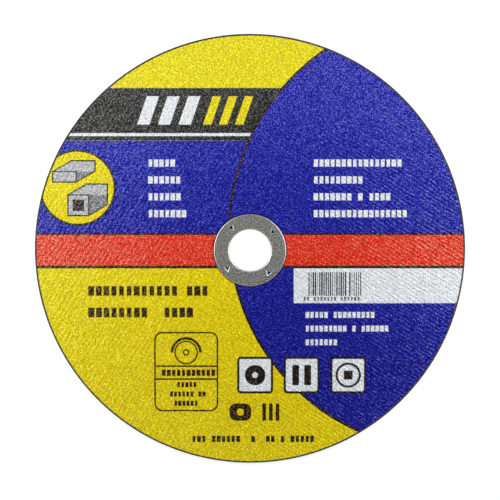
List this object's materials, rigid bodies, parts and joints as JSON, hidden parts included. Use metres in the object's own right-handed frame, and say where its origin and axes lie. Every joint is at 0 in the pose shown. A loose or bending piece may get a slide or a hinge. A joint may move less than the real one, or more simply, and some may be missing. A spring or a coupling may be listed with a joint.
{
  "type": "cut-off wheel",
  "caption": "Thin flat bonded-abrasive wheel with a printed paper face and a flanged steel ring in its bore, for cutting metal on an angle grinder.",
  "frame": {"origin": "centre of the bore on the back face, which the wheel lies on", "axes": "+Z along the bore's axis, out of the labelled face; +Y towards the top of the label"},
  "size_m": [0.23, 0.23, 0.0022],
  "materials": {
    "bonded_abrasive": "coarse dark grain in resin, open and matt",
    "printed_paper": "printed paper pressed on the mesh, finely speckled, matt",
    "plated_steel": "thin dull plating on stamped sheet"
  },
  "bodies": {
    "root": {"abrasive_disc": "bonded_abrasive", "paper_label": "printed_paper", "arbor_ring": "plated_steel"}
  },
  "joints": []
}
